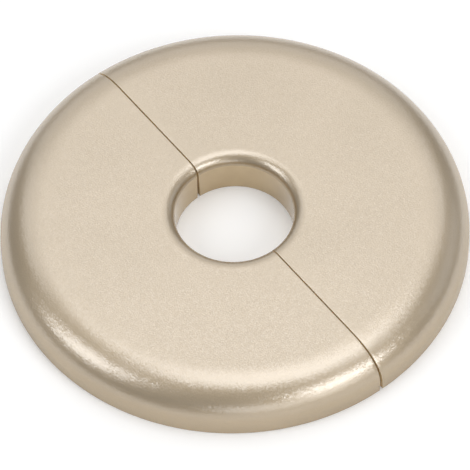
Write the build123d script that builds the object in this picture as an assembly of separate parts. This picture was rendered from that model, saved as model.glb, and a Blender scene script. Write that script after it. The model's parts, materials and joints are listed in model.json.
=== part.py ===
"""Two-piece collar that closes round a radiator pipe where the pipe meets the floor or the wall.

Millimetres. Z is the axis of the pipe, and Z = 0 is the surface that the collar lies on. X runs along
the split between the halves, and the halves pull apart along Y.
"""
import os
from math import radians, sqrt, tan

from build123d import *

# Pipe and bore
pipe_diameter = 15.0
pipe_clearance = 0.1
bore_lip_radius = 1.4

# Outer form
outer_diameter = 60.0
height = 6.0
rim_side_height = 1.4

# Wall thicknesses of the moulding
skin = 1.4
bore_wall = 1.3
end_wall = 1.3

# Split between the halves. The split faces lean back towards the base, so that they leave the mould
seam_gap_at_top = 0.1
seam_draft = 1.5
seam_edge_chamfer = 0.12

# Joining peg and socket
peg_diameter = 2.4
peg_reach = 3.6
peg_tip_chamfer = 0.5
peg_clearance = 0.05
peg_end_clearance = 0.5
socket_mouth_chamfer = 0.25
socket_wall = 0.9
socket_floor = 0.8
boss_sink = 0.2

# Stiffening ribs under the top
rib_angles = (45, 90, 135)
rib_thickness = 1.0
rib_height = 2.2

# Worked out from the sizes above
bore_radius = pipe_diameter / 2 + pipe_clearance
outer_radius = outer_diameter / 2
rim_radius = height - rim_side_height
rim_slope = (2 - sqrt(2)) * (rim_radius - skin)
ceiling = height - skin
cavity_inner_radius = bore_radius + bore_wall
cavity_outer_radius = outer_radius - skin
peg_radius = peg_diameter / 2
socket_radius = peg_radius + peg_clearance
socket_depth = peg_reach + peg_end_clearance
boss_radius = socket_radius + socket_wall
boss_length = socket_depth + socket_floor
joint_x = (cavity_inner_radius + cavity_outer_radius) / 2
joint_z = ceiling + boss_sink - boss_radius


def ring_section(inner_radius, outer_radius, top):
    """The section of a plain ring beside the axis, with its foot at the base."""
    width = outer_radius - inner_radius
    return Pos(inner_radius + width / 2, top / 2) * Rectangle(width, top)


def upper_corner(section, side):
    """The upper corner of a section at its bore side (0) or its rim side (-1)."""
    return section.vertices().group_by(Axis.X)[side].sort_by(Axis.Y)[-1]


def half_turn(section):
    """Half a ring on the +Y side, from a section that lies beside the axis."""
    return revolve(Plane.XZ * section, Axis.Z, 180)


def split_face_y(z, depth=0.0):
    """Distance from the middle plane to the surface that lies depth behind the split face, at height z."""
    return seam_gap_at_top / 2 + (height - z) * tan(radians(seam_draft)) + depth


def split_slab(depth=0.0):
    """The space between the middle plane and the surface that lies depth behind the split faces."""
    base_y = split_face_y(0, depth)
    top_y = split_face_y(height, depth)
    profile = make_face(Polyline((0, 0), (base_y, 0), (top_y, height), (0, height), close=True))
    return extrude(Plane.YZ * profile, outer_radius, both=True)


def rod_along_y(radius, x, start, end):
    """A cylinder along Y at the height of the joining pegs."""
    middle = Pos(x, (start + end) / 2, joint_z)
    return middle * Rot(90, 0, 0) * Cylinder(radius, end - start)


def outer_form():
    """The half ring as it looks from outside, with its split faces cut and their edges chamfered."""
    section = ring_section(bore_radius, outer_radius, height)
    section = fillet(upper_corner(section, -1), rim_radius)
    section = fillet(upper_corner(section, 0), bore_lip_radius)
    form = half_turn(section) - split_slab()
    split_faces = form.faces().filter_by(lambda face: face.normal_at().Y < -0.99)
    show_edges = split_faces.edges().filter_by(lambda edge: edge.bounding_box().max.Z > seam_edge_chamfer)
    return chamfer(show_edges, seam_edge_chamfer)


def rib(angle):
    """A short radial rib that hangs from the ceiling between the bore wall and the rim."""
    length = cavity_outer_radius - cavity_inner_radius
    along = Pos(cavity_inner_radius + length / 2, 0, ceiling - rib_height / 2)
    return Rot(0, 0, angle) * along * Box(length, rib_thickness, rib_height)


def hollow():
    """The space under the top, less the end walls, the ribs and the boss round the socket.

    Under the rounded rim the corner is a slope that keeps the wall about as thick as the skin.
    """
    section = ring_section(cavity_inner_radius, cavity_outer_radius, ceiling)
    section = chamfer(upper_corner(section, -1), rim_slope)
    space = half_turn(section) - split_slab(end_wall)
    for angle in rib_angles:
        space -= rib(angle)
    return space - rod_along_y(boss_radius, joint_x, 0, boss_length)


def socket_hole():
    """The blind hole for the other half's peg, with a small lead-in at its mouth."""
    mouth_y = split_face_y(joint_z)
    hole = rod_along_y(socket_radius, joint_x, 0, socket_depth)
    lead_in = Cone(socket_radius + socket_mouth_chamfer, socket_radius, socket_mouth_chamfer)
    place = Pos(joint_x, mouth_y + socket_mouth_chamfer / 2, joint_z) * Rot(-90, 0, 0)
    return hole + place * lead_in


def peg():
    """The round peg that stands on the end wall and reaches past the middle plane into the socket."""
    root_y = split_face_y(joint_z, end_wall / 2)
    rod = rod_along_y(peg_radius, -joint_x, -peg_reach, root_y)
    tip = rod.edges().sort_by(Axis.Y)[0]
    return chamfer(tip, peg_tip_chamfer)


def half():
    """One moulding, on the +Y side of the split."""
    return outer_form() - hollow() - socket_hole() + peg()


rear_half = half()
front_half = Rot(0, 0, 180) * half()

os.makedirs("parts", exist_ok=True)
export_step(rear_half, "parts/rear_half.step")
export_step(front_half, "parts/front_half.step")
print("outside diameter", outer_diameter, "bore", 2 * bore_radius, "height", height)
print("socket centre", round(joint_x, 3), round(joint_z, 3), "volume of a half", round(rear_half.volume, 1))
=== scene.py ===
# %% [markdown]
# A collar for a radiator pipe
#
# The real object is a pair of moulded half rings. They peg together round a 15 mm pipe and hide the
# hole that the pipe comes out of. This lesson gives the measured solid its finished surface: a satin
# champagne moulding with a fine grain, on a pale table under soft studio light.
#
# The measured solid comes first. Every shape below starts from its sizes, so nothing is placed by eye.

# %% Load the measured part
import json
from math import cos, pi, radians, sin, tan

import bpy
import numpy as np
from mathutils import Matrix, Vector


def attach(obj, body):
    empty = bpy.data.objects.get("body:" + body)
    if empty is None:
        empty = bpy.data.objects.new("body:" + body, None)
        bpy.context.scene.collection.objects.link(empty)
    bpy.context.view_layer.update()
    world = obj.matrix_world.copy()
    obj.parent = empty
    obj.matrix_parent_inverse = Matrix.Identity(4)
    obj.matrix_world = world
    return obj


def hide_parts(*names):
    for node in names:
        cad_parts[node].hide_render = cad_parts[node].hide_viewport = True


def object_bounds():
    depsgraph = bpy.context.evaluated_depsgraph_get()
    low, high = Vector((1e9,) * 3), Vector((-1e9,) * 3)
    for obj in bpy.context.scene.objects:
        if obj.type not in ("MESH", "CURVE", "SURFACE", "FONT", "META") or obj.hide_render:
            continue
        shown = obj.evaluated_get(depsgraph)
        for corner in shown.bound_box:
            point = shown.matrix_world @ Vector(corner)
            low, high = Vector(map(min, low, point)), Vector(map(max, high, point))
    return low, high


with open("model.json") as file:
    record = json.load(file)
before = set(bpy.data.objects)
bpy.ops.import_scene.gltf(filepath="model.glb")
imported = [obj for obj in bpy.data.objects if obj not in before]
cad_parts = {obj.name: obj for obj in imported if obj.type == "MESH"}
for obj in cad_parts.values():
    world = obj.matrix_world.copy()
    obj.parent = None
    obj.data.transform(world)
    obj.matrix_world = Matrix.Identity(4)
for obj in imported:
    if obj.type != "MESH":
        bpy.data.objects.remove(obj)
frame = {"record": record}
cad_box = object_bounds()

MM = 0.001
print("measured box, mm:", [round(v / MM, 3) for corner in cad_box for v in corner])

# %% [markdown]
# The sizes that belong to the whole ring come from the frame: the outside radius, the height and the
# bore. The measured solid is faceted and stops a few thousandths short of the true circle, so its
# shorter reach is taken, and the finished surface can't stick out of it. The roundings are the mould
# maker's numbers, written here in millimetres. Both feet have the small rounding that a worn mould
# leaves, so no edge is knife sharp.

# %% Sizes of the moulding
outer_radius = min(cad_box[1].x, cad_box[1].y) / MM
height = cad_box[1].z / MM
bore_radius = next(m for m in frame["record"]["mounts"] if m["name"] == "bore")["dims"]["r_mm"]
rim_width, rim_drop = 6.0, 4.6
lip_width, lip_drop = 1.8, 1.5
foot_radius = 0.15
print("radius", round(outer_radius, 3), "height", round(height, 3), "bore", bore_radius)

# %% [markdown]
# The section of the ring is a short chain of straight runs and roundings. It could be drawn as a curve
# object, but as arrays it also gives its own normals, and those are needed to round the edges along the
# split.
#
# A plain arc would start with a jump in curvature, and a satin surface shows that jump as a hard edge in
# its highlight. On the photographed rim the highlight swells slowly, so the big roundings are quarters
# of a superellipse, which leave the flat with no curvature at all. They stay within a sixth of a
# millimetre of the measured solid.
#
# Each straight run has a narrow row at both ends. Those rows hold the shading of the flat top flat,
# right up to the place where the rounding starts.

# %% Runs, arcs and soft quarters
ROW_BESIDE_ARC = 0.08
WIDEST_ROW_SHARE = 0.2
CURVE_POWER = 2.3


def run(start, end, rows, normal=(0, 0)):
    """Straight run: start + (end - start) * s, with s from 0 to 1 and a narrow row at both ends."""
    length = np.hypot(end[0] - start[0], end[1] - start[1])
    narrow = min(ROW_BESIDE_ARC / length, WIDEST_ROW_SHARE)
    s = np.concatenate([[0.0], np.linspace(narrow, 1 - narrow, rows), [1.0]])
    points = np.array(start) + s[:, None] * (np.array(end) - np.array(start))
    return points, np.tile(normal, (len(s), 1))


def arc(centre, radius, first, last, steps):
    """Arc: centre + radius * (cos a, sin a), with the angle a running evenly from first to last."""
    a = np.radians(np.linspace(first, last, steps + 1))
    outward = np.stack([np.cos(a), np.sin(a)], -1)
    return np.array(centre) + radius * outward, outward


def soft_quarter(corner, width, drop, steps):
    """Quarter of a superellipse from the flat top down to a wall: |u|^n + |v|^n = 1, n = CURVE_POWER.

    The angle q runs from 0 at the top to 90 degrees at the wall, u = sin(q)^(2/n) and v = cos(q)^(2/n).
    The point is corner + (width * (u - 1), drop * (v - 1)), where corner is the sharp corner that it
    takes off. The normal is (u^(n-1) / width, v^(n-1) / drop) at unit length. A negative width is a
    corner on the left.
    """
    n = CURVE_POWER
    q = np.linspace(0, pi / 2, steps + 1)
    u, v = np.sin(q) ** (2 / n), np.cos(q).clip(0) ** (2 / n)
    points = np.array(corner) + np.stack([width * (u - 1), drop * (v - 1)], -1)
    normals = np.stack([u ** (n - 1) / width, v ** (n - 1) / drop], -1)
    return points, normals / np.linalg.norm(normals, axis=1, keepdims=True)


flat_width = outer_radius - rim_width - bore_radius - lip_width
print("flat of the top, mm:", round(flat_width, 2))

# %% [markdown]
# The chain starts at the foot of the bore. It goes up the bore, over the flat top and down the rim to
# its foot, and comes back along the base. The rim has the most points, because its long highlight shows
# every corner.

# %% The section of the ring
def reversed_piece(piece):
    """The same run or arc, read from its other end."""
    return piece[0][::-1], piece[1][::-1]


def chain(*pieces):
    """Joins runs and arcs end to end into a closed outline. A point that two of them share is kept once."""
    points = np.concatenate([pieces[0][0]] + [p[0][1:] for p in pieces[1:]])
    normals = np.concatenate([pieces[0][1]] + [p[1][1:] for p in pieces[1:]])
    return points[:-1], normals[:-1]


lip_foot = height - lip_drop
rim_foot = height - rim_drop
ring_outline = chain(
    arc((bore_radius + foot_radius, foot_radius), foot_radius, 270, 180, steps=4),
    run((bore_radius, foot_radius), (bore_radius, lip_foot), rows=5, normal=(-1, 0)),
    reversed_piece(soft_quarter((bore_radius, height), -lip_width, lip_drop, steps=20)),
    run((bore_radius + lip_width, height), (outer_radius - rim_width, height), rows=16, normal=(0, 1)),
    soft_quarter((outer_radius, height), rim_width, rim_drop, steps=40),
    run((outer_radius, rim_foot), (outer_radius, foot_radius), rows=3, normal=(1, 0)),
    arc((outer_radius - foot_radius, foot_radius), foot_radius, 0, -90, steps=4),
    run((outer_radius - foot_radius, 0), (bore_radius + foot_radius, 0), rows=12, normal=(0, -1)),
)
print("points round the section:", len(ring_outline[0]))

# %% [markdown]
# The section is carried round half a turn. On the real moulding the split faces lean back towards the
# base, which lets them leave the mould, so each point of the section starts at its own angle: the one
# where its circle meets the leaning face.
#
# At both ends the section shrinks along its normals while it comes out to the split face. That rolls
# the edge over in a quarter round, as a moulded edge is, and the roll catches the light along the seam.

# %% Carry the section round
seam_gap_at_top = 0.1
seam_slope = tan(radians(1.5))
seam_edge_radius = 0.08


def split_face(z):
    """Distance of the leaning split face from the middle plane at height z."""
    return seam_gap_at_top / 2 + (height - z) * seam_slope


def swept_half(outline, depth, edge_radius, columns, edge_steps=5):
    """Surface over two parameters, i along the outline and j round the ring, on the +Y side.

    Away from the ends a point is (r cos t, r sin t, z), with t from its own first angle to pi less that
    angle. In the quarter round at an end, a runs from 0 to 90 degrees: the outline moves in by
    edge_radius * (1 - sin a) and back from the split face by edge_radius * (1 - cos a). The depth is how
    far the whole end lies behind the split face.
    """
    points, normals = outline
    a = np.linspace(0, pi / 2, edge_steps + 1)[:-1] if edge_radius else np.zeros(0)
    inset = edge_radius * (1 - np.sin(a))
    back = depth + edge_radius * (1 - np.cos(a))
    r_end = points[:, :1] - inset * normals[:, :1]
    z_end = points[:, 1:] - inset * normals[:, 1:]
    y_end = split_face(z_end) + back
    x_end = np.sqrt(r_end**2 - y_end**2)
    r, z = points[:, :1], points[:, 1:]
    first = np.arcsin((split_face(z) + depth + edge_radius) / r)
    t = first + (pi - 2 * first) * np.linspace(0, 1, columns + 1)
    x = np.concatenate([x_end, r * np.cos(t), -x_end[:, ::-1]], 1)
    y = np.concatenate([y_end, r * np.sin(t), y_end[:, ::-1]], 1)
    z = np.concatenate([z_end, np.repeat(z, columns + 1, 1), z_end[:, ::-1]], 1)
    return np.stack([x, y, z], -1)


half_ring = swept_half(ring_outline, depth=0, edge_radius=seam_edge_radius, columns=240)
print("half ring: rows and columns", half_ring.shape[:2])

# %% [markdown]
# The result is a grid of points. Its rows close round the section, and one flat face shuts each end. All
# faces have to point outwards, or a Boolean would add what it should take away. So the enclosed volume
# is worked out, and where it is negative the faces are turned over.
#
# Each face carries the number of its finish, and the Booleans hand that on. The show side is the first.

# %% From a grid to a closed mesh
SHOW_SIDE, CORE_SIDE, SPLIT_FACE = 0, 1, 2


def enclosed_volume(points, polygons):
    """Sum of the tetrahedra between the origin and each polygon's fan: positive if the faces point out."""
    first, rest = points[polygons[:, :1]], points[polygons[:, 1:]]
    return (np.cross(rest[:, :-1], rest[:, 1:]) * first).sum() / 6


def closed_tube(grid):
    """Vertices and faces of a grid that closes on itself along i, with a flat face over each open end."""
    rows, columns = grid.shape[:2]
    points = grid.reshape(-1, 3)
    index = np.arange(rows * columns).reshape(rows, columns)
    after = np.roll(index, -1, 0)
    quads = np.stack([index[:, :-1], index[:, 1:], after[:, 1:], after[:, :-1]], -1).reshape(-1, 4)
    ends = np.stack([index[:, 0], index[::-1, -1]])
    if enclosed_volume(points, quads) + enclosed_volume(points, ends) < 0:
        quads, ends = quads[:, ::-1], ends[:, ::-1]
    return points, quads.tolist() + ends.tolist()


def in_scene(name, data):
    """A new object with this mesh, lamp or lens, linked to the scene."""
    thing = bpy.data.objects.new(name, data)
    bpy.context.scene.collection.objects.link(thing)
    return thing


def mesh_object(name, vertices, faces, finish=SHOW_SIDE):
    """A mesh object in metres from vertices in millimetres. All its faces take the finish of that number."""
    mesh = bpy.data.meshes.new(name)
    mesh.from_pydata((vertices * MM).tolist(), [], faces)
    mesh.polygons.foreach_set("material_index", np.full(len(faces), finish))
    return in_scene(name, mesh)


shell = mesh_object("rear_half_moulding", *closed_tube(half_ring))
print("outer form: faces", len(shell.data.polygons))

# %% [markdown]
# Underneath, the moulding is hollow, because a thick lump of plastic would shrink and sink as it cools.
# In the mould a steel core makes that hollow, so here a closed core shape is made the same way as the
# outside and taken away from it. A Boolean does what the steel does. It leaves one skin with no inner
# faces, which is what the finished mesh has to be.
#
# Under the rounded rim the core has a slope of 45 degrees, which keeps the wall about as thick as the
# top. It touches the arc that an even wall would have there, and a 45 degree line that touches an arc of
# radius R takes (2 - root of 2) * R off both sides of the corner.
#
# The steel on the core's side is only ground smooth, while the show side is spark eroded to a fine
# grain. So every face that the core leaves gets the second finish. The split faces get a third one
# later, as the melt stops there against plain steel.

# %% Core of the hollow
skin = 1.4
bore_wall = 1.3
end_wall = 1.3
BELOW_BASE = -0.5
ceiling = height - skin
hollow_inner = bore_radius + bore_wall
hollow_outer = outer_radius - skin
slope = (2 - 2**0.5) * (rim_drop - skin)
core_corners = [
    (hollow_inner, BELOW_BASE),
    (hollow_inner, ceiling),
    (hollow_outer - slope, ceiling),
    (hollow_outer, ceiling - slope),
    (hollow_outer, BELOW_BASE),
]
rows_of_side = (3, 8, 3, 3, 3)
core_outline = chain(*map(run, core_corners, core_corners[1:] + core_corners[:1], rows_of_side))
core_grid = swept_half(core_outline, depth=end_wall, edge_radius=0, columns=120)
core = mesh_object("core", *closed_tube(core_grid), CORE_SIDE)
print("core: faces", len(core.data.polygons))

# %% [markdown]
# The joining peg, the boss and the blind socket in it are profiles turned about a line along Y. Peg and
# boss start half way inside the end wall, so that the union has something to bite. The peg stands on one
# side of the pipe and the socket lies on the other, so they meet once the second half is turned round.

# %% Peg, boss and socket
peg_radius, peg_reach, peg_tip = 1.2, 3.6, 0.5
socket_radius, socket_depth, socket_mouth = 1.25, 4.1, 0.25
boss_radius, boss_length, boss_into_ceiling = 2.15, 4.9, 0.2
joint_x = (hollow_inner + hollow_outer) / 2
joint_z = ceiling + boss_into_ceiling - boss_radius
face_y = split_face(joint_z)
inside_wall = face_y + end_wall / 2


def turned_about_y(profile, x, steps=48):
    """Surface (x + r cos t, y, joint_z + r sin t) from a profile of (radius, y), closed at both ends."""
    t = np.linspace(0, 2 * pi, steps, endpoint=False)
    r, y = np.split(np.array(profile), 2, axis=1)
    grid = np.stack([x + r * np.cos(t), y + 0 * t, joint_z + r * np.sin(t)], -1)
    return closed_tube(grid.transpose(1, 0, 2))


peg_profile = [
    (peg_radius, inside_wall),
    (peg_radius, -peg_reach + peg_tip),
    (peg_radius - peg_tip, -peg_reach),
]
boss_profile = [(boss_radius, inside_wall), (boss_radius, boss_length)]
socket_profile = [
    (socket_radius + 2 * socket_mouth, face_y - socket_mouth),
    (socket_radius, face_y + socket_mouth),
    (socket_radius, socket_depth),
]
print("peg and socket at x", round(joint_x, 2), "z", round(joint_z, 2), "mm")

# %% [markdown]
# Three short ribs stiffen the top. Each is a rounded section carried from the bore wall to the rim, and
# it too starts and ends a little inside the walls. Its outer end follows the slope under the rim.
#
# Ribs, boss and peg go into one helper, so one Boolean adds them all.

# %% Ribs, and the helpers for the Booleans
rib_angles = (45, 90, 135)
rib_thickness, rib_height, rib_edge_radius = 1.0, 2.2, 0.2
BITE = 0.4


def rib_solid(angle):
    """A U-shaped section in (across, up), carried from the bore wall to the slope under the rim and turned.

    At height z the rib ends at hollow_outer + BITE, less what the slope has moved in by that height.
    """
    half = rib_thickness / 2
    foot = ceiling - rib_height + rib_edge_radius
    left = arc((rib_edge_radius - half, foot), rib_edge_radius, 180, 270, steps=6)[0]
    right = left[::-1] * (-1, 1)
    top = np.array([[half, ceiling + BITE], [-half, ceiling + BITE]])
    section = np.concatenate([left, right, top])
    start = np.full(len(section), hollow_inner - BITE)
    end = hollow_outer + BITE - np.maximum(section[:, 1] - (ceiling - slope), 0)
    along = np.linspace(start, end, 3, axis=1)
    grid = np.stack(np.broadcast_arrays(along, section[:, :1], section[:, 1:]), -1)
    c, s = cos(radians(angle)), sin(radians(angle))
    turn = np.array([[c, s, 0], [-s, c, 0], [0, 0, 1]])
    return closed_tube(grid @ turn)


def joined(name, solids):
    """One mesh object from several closed solids, each given as vertices and faces."""
    shift, vertices, faces = 0, [], []
    for points, polygons in solids:
        vertices.append(points)
        faces += [(np.array(polygon) + shift).tolist() for polygon in polygons]
        shift += len(points)
    return mesh_object(name, np.concatenate(vertices), faces, CORE_SIDE)


additions = joined(
    "additions",
    [rib_solid(angle) for angle in rib_angles]
    + [turned_about_y(boss_profile, joint_x), turned_about_y(peg_profile, -joint_x)],
)
socket = mesh_object("socket", *turned_about_y(socket_profile, joint_x), CORE_SIDE)
print("helpers: faces", len(additions.data.polygons), "and", len(socket.data.polygons))

# %% [markdown]
# The Booleans run in the order in which the mould would shape the part: the core is taken out, the ribs,
# boss and peg are added, and the socket is drilled. The result is applied at once, so the finished
# object carries plain faces and no live modifiers, and the helpers are deleted.

# %% Combine
def with_boolean(piece, operation, other):
    """Applies one exact Boolean to a piece and deletes the helper."""
    step = piece.modifiers.new(operation.lower(), "BOOLEAN")
    step.operation = operation
    step.solver = "EXACT"
    step.material_mode = "INDEX"
    step.object = other
    graph = bpy.context.evaluated_depsgraph_get()
    mesh = bpy.data.meshes.new_from_object(piece.evaluated_get(graph))
    piece.modifiers.clear()
    piece.data = mesh
    bpy.data.objects.remove(other)


with_boolean(shell, "DIFFERENCE", core)
with_boolean(shell, "UNION", additions)
with_boolean(shell, "DIFFERENCE", socket)
print("one moulding: faces", len(shell.data.polygons))

# %% [markdown]
# A face with more than four corners is one of the flat walls, so it is shaded flat, and all the others
# are shaded smooth. The faces of the base, the bore and the split are found by where they lie, and they
# change their finish. The limits are a little wider than the faces need, in metres as the mesh is.

# %% Sort the faces
FACES_THE_SPLIT = -0.99
BEHIND_THE_SPLIT = 0.3 * MM
OFF_THE_BASE = 0.001 * MM
OFF_THE_BORE = 0.01 * MM
SHARP_FROM = radians(24)


def face_values(name, width, kind=float):
    """A row of width values for each face of the moulding, read in one go."""
    values = np.zeros(len(shell.data.polygons) * width, kind)
    shell.data.polygons.foreach_get(name, values)
    return values.reshape(-1, width)


corners_of_face = face_values("loop_total", 1, int).ravel()
shell.data.polygons.foreach_set("use_smooth", corners_of_face <= 4)
shell.data.set_sharp_from_angle(angle=SHARP_FROM)
finish = face_values("material_index", 1, int).ravel()
normal_y = face_values("normal", 3)[:, 1]
x, y, z = face_values("center", 3).T
base = z < OFF_THE_BASE
bore = np.hypot(x, y) < bore_radius * MM + OFF_THE_BORE
split = (normal_y < FACES_THE_SPLIT) & (y < BEHIND_THE_SPLIT)
finish[base | bore] = CORE_SIDE
finish[split] = SPLIT_FACE
print("faces of each finish:", np.bincount(finish))

# %% [markdown]
# The second half is the same moulding turned half a turn about the pipe, so its mesh is the first one's
# with x and y negated. That is how both halves come from one mould on the real product. Each half takes
# the place of its measured solid and rides on the body that moves it.

# %% Turn into the two halves
rear = shell
front = in_scene("front_half_moulding", rear.data.copy())
front.data.transform(Matrix.Rotation(pi, 4, "Z"))

for piece, node, body in ((front, "front_half", "front"), (rear, "rear_half", "rear")):
    piece.data.name = piece.name
    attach(piece, body)
    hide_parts(node)
    piece.data.calc_loop_triangles()
    print(piece.name, "triangles", len(piece.data.loop_triangles))

# %% [markdown]
# The finish is a satin champagne pearl. Fine metal flakes lie in the tan body and scatter the light
# widely, in their own warm colour. Over them lies a skin of clear lacquer with titanium-coated mica, and
# that adds a narrower white gloss. In the photograph every bright place is the dark band's tan plus
# white. A plain metal couldn't do that, because a metal tints all that it mirrors.
#
# So the shader is a rough metal in the tan of the flakes, with a coat over it. The three finishes of the
# moulding differ in that coat and in the marks of the tool, so they share the small builders below.
# Everything reads Object coordinates in metres, so a pattern keeps its real size.

# %% Nodes that the finishes share
PLASTIC_INDEX = 1.5
NOISE_SPAN = (0.35, 0.65)


def new_finish(name, metallic, coat_weight=0, coat_roughness=0, coat_index=PLASTIC_INDEX):
    """A material with a clear coat over its body.

    It comes back with its nodes, its shader and the output that gives the place on the object.
    """
    material = bpy.data.materials.new(name)
    material.use_nodes = True
    shader = material.node_tree.nodes["Principled BSDF"]
    shader.inputs["Metallic"].default_value = metallic
    shader.inputs["Coat Weight"].default_value = coat_weight
    shader.inputs["Coat Roughness"].default_value = coat_roughness
    shader.inputs["Coat IOR"].default_value = coat_index
    place = material.node_tree.nodes.new("ShaderNodeTexCoord").outputs["Object"]
    return material, material.node_tree, shader, place


def noise(tree, place, size, detail, roughness=0.5):
    """Noise over the object, with one blob about size metres across."""
    node = tree.nodes.new("ShaderNodeTexNoise")
    node.inputs["Scale"].default_value = 1 / size
    node.inputs["Detail"].default_value = detail
    node.inputs["Roughness"].default_value = roughness
    tree.links.new(place, node.inputs["Vector"])
    return node.outputs["Fac"]


def cells(tree, place, size, output):
    """Random cells over the object, about size metres apart: their colour or the distance to their seed."""
    node = tree.nodes.new("ShaderNodeTexVoronoi")
    node.inputs["Scale"].default_value = 1 / size
    tree.links.new(place, node.inputs["Vector"])
    return node.outputs[output]


def spread(tree, value, span, to_span):
    """Moves a value from one span of numbers into another, end to end, and holds it in the second."""
    node = tree.nodes.new("ShaderNodeMapRange")
    for name, number in zip(("From Min", "From Max", "To Min", "To Max"), span + to_span):
        node.inputs[name].default_value = number
    tree.links.new(value, node.inputs["Value"])
    return node.outputs["Result"]


def blend(tree, factor, first, second):
    """first where the factor is 0 and second where it is 1. Each is a colour or a node's output."""
    node = tree.nodes.new("ShaderNodeMix")
    node.data_type = "RGBA"
    tree.links.new(factor, node.inputs["Factor"])
    for side, colour in ((node.inputs[6], first), (node.inputs[7], second)):
        if isinstance(colour, tuple):
            side.default_value = colour
        else:
            tree.links.new(colour, side)
    return node.outputs[2]


# %% [markdown]
# Relief too fine for the mesh goes into the normals. Bumps tip them by the slope of a height, one layer
# on top of another. The slant of a flake tips them by a random vector, a different one for each flake.

# %% Bumps and slants
def bumped(tree, height, depth, strength, below=None):
    """A normal pushed about by a height of the given depth in metres, on top of another normal."""
    node = tree.nodes.new("ShaderNodeBump")
    node.inputs["Distance"].default_value = depth
    node.inputs["Strength"].default_value = strength
    tree.links.new(height, node.inputs["Height"])
    if below:
        tree.links.new(below, node.inputs["Normal"])
    return node.outputs["Normal"]


def vector_step(tree, operation, first, second=None):
    """One step of vector arithmetic on node outputs. Its second input can be left for a fixed value."""
    node = tree.nodes.new("ShaderNodeVectorMath")
    node.operation = operation
    tree.links.new(first, node.inputs[0])
    if second:
        tree.links.new(second, node.inputs["Scale" if operation == "SCALE" else 1])
    return node


def slanted(tree, normal, random, slant):
    """A normal plus slant times a random vector with parts from -0.5 to 0.5, at unit length."""
    centred = vector_step(tree, "SUBTRACT", random)
    centred.inputs[1].default_value = (0.5, 0.5, 0.5)
    scaled = vector_step(tree, "SCALE", centred.outputs[0], slant)
    total = vector_step(tree, "ADD", normal, scaled.outputs[0])
    return vector_step(tree, "NORMALIZE", total.outputs[0]).outputs[0]


# %% [markdown]
# The show side has the full pearl, and its coat has the index of refraction of titanium dioxide. The
# flow of the melt leaves slow clouds in the colour, and a few dark specks are dust in the skin.

# %% The show side: clouds and specks
PEARL_INDEX = 2.8
CLOUD_SIZE = 8 * MM
CLOUD_STRENGTH = 0.6
SPECK_SPACING = 5.5 * MM
SPECK_RADIUS = 0.11 * MM
SPECK_STRENGTH = 0.7
body_tan = (0.415, 0.312, 0.176, 1)
body_light = (0.450, 0.342, 0.202, 1)
speck_brown = (0.16, 0.10, 0.05, 1)

champagne, tree, shader, place = new_finish(
    "champagne_pearl", metallic=1, coat_weight=1, coat_roughness=0.24, coat_index=PEARL_INDEX
)
clouds = spread(tree, noise(tree, place, CLOUD_SIZE, detail=3), NOISE_SPAN, (0, CLOUD_STRENGTH))
speck_edge = SPECK_RADIUS / SPECK_SPACING
from_seed = cells(tree, place, SPECK_SPACING, "Distance")
specks = spread(tree, from_seed, (0.5 * speck_edge, speck_edge), (SPECK_STRENGTH, 0))
body = blend(tree, specks, blend(tree, clouds, body_tan, body_light), speck_brown)
tree.links.new(body, shader.inputs["Base Color"])
print(champagne.name, "colour from", len(tree.nodes), "nodes")

# %% [markdown]
# The steel was spark eroded. The grain that it leaves is about a fifth of a millimetre across and a few
# hundredths deep. It lies on a faint waviness, and it tips the normals of the body and of the coat
# alike. The flakes lie at slightly different slants, so in the highlights single ones flash and their
# neighbours stay dull. They lie flattest on the top and more loosely on the rim, where the melt turned
# down.
#
# The pearl is sprayed on from above, so it is full on the top and thins out down the walls. That is read
# from how far the surface faces upwards. It could be one even coat, but then the foot of the rim would
# mirror the white table, and in the photograph it stays tan.

# %% The show side: grain, flakes and pearl
GRAIN_SIZE = 0.2 * MM
FLAKE_SIZE = 0.12 * MM
BODY_ROUGHNESS = (0.45, 0.55)
PEARL_FROM_WALL_TO_TOP = (0.6, 1)
WALL_TO_TOP = (0.2, 0.7)
SLANT_FROM_RIM_TO_TOP = (0.14, 0.1)
RIM_TO_TOP = (0.86, 0.99)

flakes = cells(tree, place, FLAKE_SIZE, "Color")
tree.links.new(spread(tree, flakes, (0, 1), BODY_ROUGHNESS), shader.inputs["Roughness"])
waves = bumped(tree, noise(tree, place, CLOUD_SIZE, detail=1), depth=0.02 * MM, strength=0.5)
grain = noise(tree, place, GRAIN_SIZE, detail=2, roughness=0.6)
eroded = bumped(tree, grain, depth=0.02 * MM, strength=0.7, below=waves)
tree.links.new(eroded, shader.inputs["Normal"])

facing = tree.nodes.new("ShaderNodeSeparateXYZ")
tree.links.new(place.node.outputs["Normal"], facing.inputs[0])
upward = facing.outputs["Z"]
pearl = spread(tree, upward, WALL_TO_TOP, PEARL_FROM_WALL_TO_TOP)
tree.links.new(pearl, shader.inputs["Coat Weight"])
slant = spread(tree, upward, RIM_TO_TOP, SLANT_FROM_RIM_TO_TOP)
tree.links.new(slanted(tree, eroded, flakes, slant), shader.inputs["Coat Normal"])
print(champagne.name, "in all", len(tree.nodes), "nodes")

# %% [markdown]
# The hollow, the base and the wall of the bore come off ground steel. They have the same tan, with only
# the faint lines of the grinding, and it is painted a little lighter than the show side: painted light
# that brightens the shaded wall of the bore. Little of the pearl reaches them, so their gloss is that of
# plain clear plastic.

# %% The core's side: ground smooth
TINT_SIZE = 3 * MM
LINE_SIZE = 0.9 * MM
LINE_STRETCH = 12
LINE_SPAN = (0.3, 0.7)
GROUND_ROUGHNESS = (0.3, 0.4)
# Painted light: both tans are lighter than the show side's, to brighten the shaded bore wall.
ground_tan_painted_lighter = (0.49, 0.370, 0.212, 1)
ground_light_painted_lighter = (0.53, 0.405, 0.238, 1)

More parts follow.
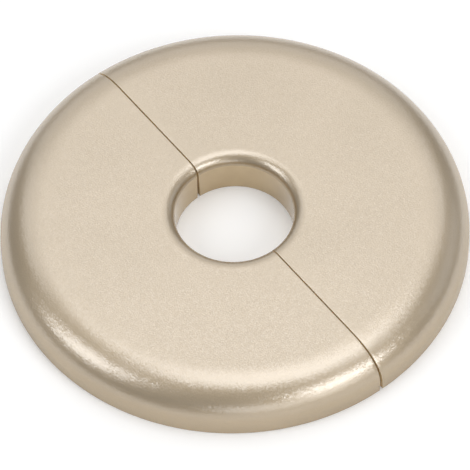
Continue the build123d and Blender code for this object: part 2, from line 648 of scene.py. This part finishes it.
ground, tree, shader, place = new_finish(
    "champagne_ground", metallic=1, coat_weight=1, coat_roughness=0.12
)
tint = spread(tree, noise(tree, place, TINT_SIZE, detail=3), NOISE_SPAN, (0, 1))
tree.links.new(blend(tree, tint, ground_tan_painted_lighter, ground_light_painted_lighter), shader.inputs["Base Color"])
stretched = tree.nodes.new("ShaderNodeMapping")
stretched.inputs["Scale"].default_value = (1, 1, LINE_STRETCH)
tree.links.new(place, stretched.inputs["Vector"])
lines = noise(tree, stretched.outputs["Vector"], LINE_SIZE, detail=3, roughness=0.6)
tree.links.new(spread(tree, lines, LINE_SPAN, GROUND_ROUGHNESS), shader.inputs["Roughness"])
ground_lines = bumped(tree, lines, depth=0.01 * MM, strength=0.2)
tree.links.new(ground_lines, shader.inputs["Normal"])
tree.links.new(ground_lines, shader.inputs["Coat Normal"])
print(ground.name, "in all", len(tree.nodes), "nodes")

# %% [markdown]
# On the split faces the flakes stand on edge, because the melt stopped there against the steel. They
# don't shine, and light that falls on the top near the split comes out of the plastic again between the
# halves. That is why the seam in the photograph is a brown line and not a black one. So this finish is
# no metal and has no coat: it is a matt plastic that lets light wander about half a millimetre through.

# %% The split faces: matt and a little translucent
SPLIT_ROUGHNESS = 0.6
WANDER = 0.5 * MM
WANDER_OF_RED_GREEN_BLUE = (1, 0.85, 0.6)
split_tan = (0.58, 0.44, 0.24, 1)
split_light = (0.64, 0.50, 0.29, 1)

matt, tree, shader, place = new_finish("champagne_split", metallic=0)
shader.inputs["Roughness"].default_value = SPLIT_ROUGHNESS
shader.inputs["Subsurface Weight"].default_value = 1
shader.inputs["Subsurface Radius"].default_value = WANDER_OF_RED_GREEN_BLUE
shader.inputs["Subsurface Scale"].default_value = WANDER
pits = spread(tree, noise(tree, place, GRAIN_SIZE, detail=2), NOISE_SPAN, (0, 1))
tree.links.new(blend(tree, pits, split_tan, split_light), shader.inputs["Base Color"])
tree.links.new(bumped(tree, pits, depth=0.01 * MM, strength=0.4), shader.inputs["Normal"])
print(matt.name, "in all", len(tree.nodes), "nodes")

# %% [markdown]
# Both halves come from one mould, so they carry the same three finishes on the same faces. Each face
# keeps the number that it was given when the faces were sorted. The numbers are written last, because a
# mesh forgets them when its list of materials is emptied.

# %% Give the halves their finishes
for piece in (front, rear):
    piece.data.materials.clear()
    for material in (champagne, ground, matt):
        piece.data.materials.append(material)
    piece.data.polygons.foreach_set("material_index", finish)
    print(piece.name, "finishes:", [m.name for m in piece.data.materials])

# %% [markdown]
# The photograph was taken with a long lens from well above. The camera's direction, roll and distance
# were worked out from the outline of the ring and of its bore, which are circles of known size. A long
# lens far away keeps the near rim from looking larger than the far rim.

# %% Camera
CAMERA_AZIMUTH = radians(54.34)
CAMERA_ELEVATION = radians(55.24)
CAMERA_ROLL = radians(-2.29)
CAMERA_DISTANCE = 17.19 * outer_radius * MM
FOCAL_PIXELS = 4021
FRAME_PIXELS = 470
SENSOR_WIDTH = 36

towards = Vector(
    (
        sin(CAMERA_AZIMUTH) * cos(CAMERA_ELEVATION),
        -cos(CAMERA_AZIMUTH) * cos(CAMERA_ELEVATION),
        sin(CAMERA_ELEVATION),
    )
)
level_right = Vector((cos(CAMERA_AZIMUTH), sin(CAMERA_AZIMUTH), 0))
level_up = towards.cross(level_right)
right = level_right * cos(CAMERA_ROLL) + level_up * sin(CAMERA_ROLL)
up = towards.cross(right)

lens = bpy.data.cameras.new("camera")
lens.sensor_width = SENSOR_WIDTH
lens.lens = FOCAL_PIXELS / FRAME_PIXELS * SENSOR_WIDTH
camera = in_scene("camera", lens)
turn = Matrix((right, up, towards)).transposed().to_4x4()
camera.matrix_world = Matrix.Translation(towards * CAMERA_DISTANCE) @ turn
bpy.context.scene.camera = camera
print("lens mm", round(lens.lens, 1), "distance m", round(CAMERA_DISTANCE, 3))

# %% [markdown]
# A glossy surface shows its surroundings, so the boxes hang where the rim shows them. A box at the
# ceiling draws the bright line where the near rim starts to fall, and two more lead that line round to
# the right. Two wide boxes behind the table fill the flat top and the far rim. A box on either side of
# the camera gives the two streaks on the near rim, and a low one stretches the right streak along the
# foot. A last one on the far right and one low in front lift the foot of the rim. Between them the room
# stays dim, and that is the dark band.
#
# Each box is given by its direction, counted from the camera's right, by half its width and height in
# degrees as seen from the collar, and by its brightness, where 1 is a white sheet in plain light.

# %% Soft boxes and room
BOX_DISTANCE = 0.8
ROOM_BRIGHTNESS = 0.33
WHITE = (1, 1, 1, 1)


def soft_box(name, azimuth, elevation, half_width, half_height, brightness):
    """A rectangular soft light that looks at the collar. Its power is brightness * pi * its area."""
    a, e = radians(azimuth) + CAMERA_AZIMUTH, radians(elevation)
    away = Vector((cos(a) * cos(e), sin(a) * cos(e), sin(e)))
    light = bpy.data.lights.new(name, "AREA")
    light.shape = "RECTANGLE"
    light.size = 2 * BOX_DISTANCE * tan(radians(half_width))
    light.size_y = 2 * BOX_DISTANCE * tan(radians(half_height))
    light.energy = brightness * pi * light.size * light.size_y
    turn = away.to_track_quat("Z", "Y").to_matrix().to_4x4()
    in_scene(name, light).matrix_world = Matrix.Translation(away * BOX_DISTANCE) @ turn
    return light.energy


powers = [
    soft_box("ceiling", 72, 80, 16, 15, 2.16),
    soft_box("ceiling_right", 338, 66, 14, 11, 0.36),
    soft_box("right_upper", 12, 66, 12, 10, 0.82),
    soft_box("behind_high", 92, 54, 34, 12, 1.0),
    soft_box("behind_low", 95, 26, 30, 13, 0.65),
    soft_box("left_streak", 194, 44, 12, 16, 2.7),
    soft_box("right_streak", 315, 39, 14, 11, 4.1),
    soft_box("right_low", 308, 16, 14, 9, 1.5),
    soft_box("right_far", 18, 26, 18, 14, 0.43),
    soft_box("near", 276, 18, 14, 12, 1.22),
]
world = bpy.data.worlds.new("studio_room")
bpy.context.scene.world = world
world.use_nodes = True
world.node_tree.nodes["Background"].inputs["Color"].default_value = WHITE
world.node_tree.nodes["Background"].inputs["Strength"].default_value = ROOM_BRIGHTNESS
print("soft boxes:", len(powers), "power in all, W:", round(sum(powers), 2))

# %% [markdown]
# The table is a plain white sheet. The photograph's ground is pure white, so the sheet adds a little
# light of its own to what the camera and the mirrored rays see. The shadow under the rim stays, and no
# more light falls on the collar.

# %% Table
TABLE_REACH = 1.5
SHEET_WHITE = (0.92, 0.92, 0.92, 1)
SHEET_ROUGHNESS = 0.9
SHEET_GLOW = 0.1

corners = TABLE_REACH * np.array([(-1, -1, 0), (1, -1, 0), (1, 1, 0), (-1, 1, 0)])
table = mesh_object("table", corners / MM, [(0, 1, 2, 3)])
sheet = bpy.data.materials.new("white_sheet")
sheet.use_nodes = True
tree = sheet.node_tree
shader = tree.nodes["Principled BSDF"]
shader.inputs["Base Color"].default_value = SHEET_WHITE
shader.inputs["Roughness"].default_value = SHEET_ROUGHNESS
shader.inputs["Emission Color"].default_value = WHITE
paths = tree.nodes.new("ShaderNodeLightPath").outputs
seen = paths["Is Camera Ray"]
for name in ("Is Glossy Ray", "Is Transmission Ray"):
    either = tree.nodes.new("ShaderNodeMath")
    either.operation = "MAXIMUM"
    tree.links.new(seen, either.inputs[0])
    tree.links.new(paths[name], either.inputs[1])
    seen = either.outputs[0]
tree.links.new(spread(tree, seen, (0, 1), (0, SHEET_GLOW)), shader.inputs["Emission Strength"])
table.data.materials.append(sheet)

bpy.context.scene.view_settings.view_transform = "Standard"
print("table: half width m", TABLE_REACH, "own light", SHEET_GLOW)
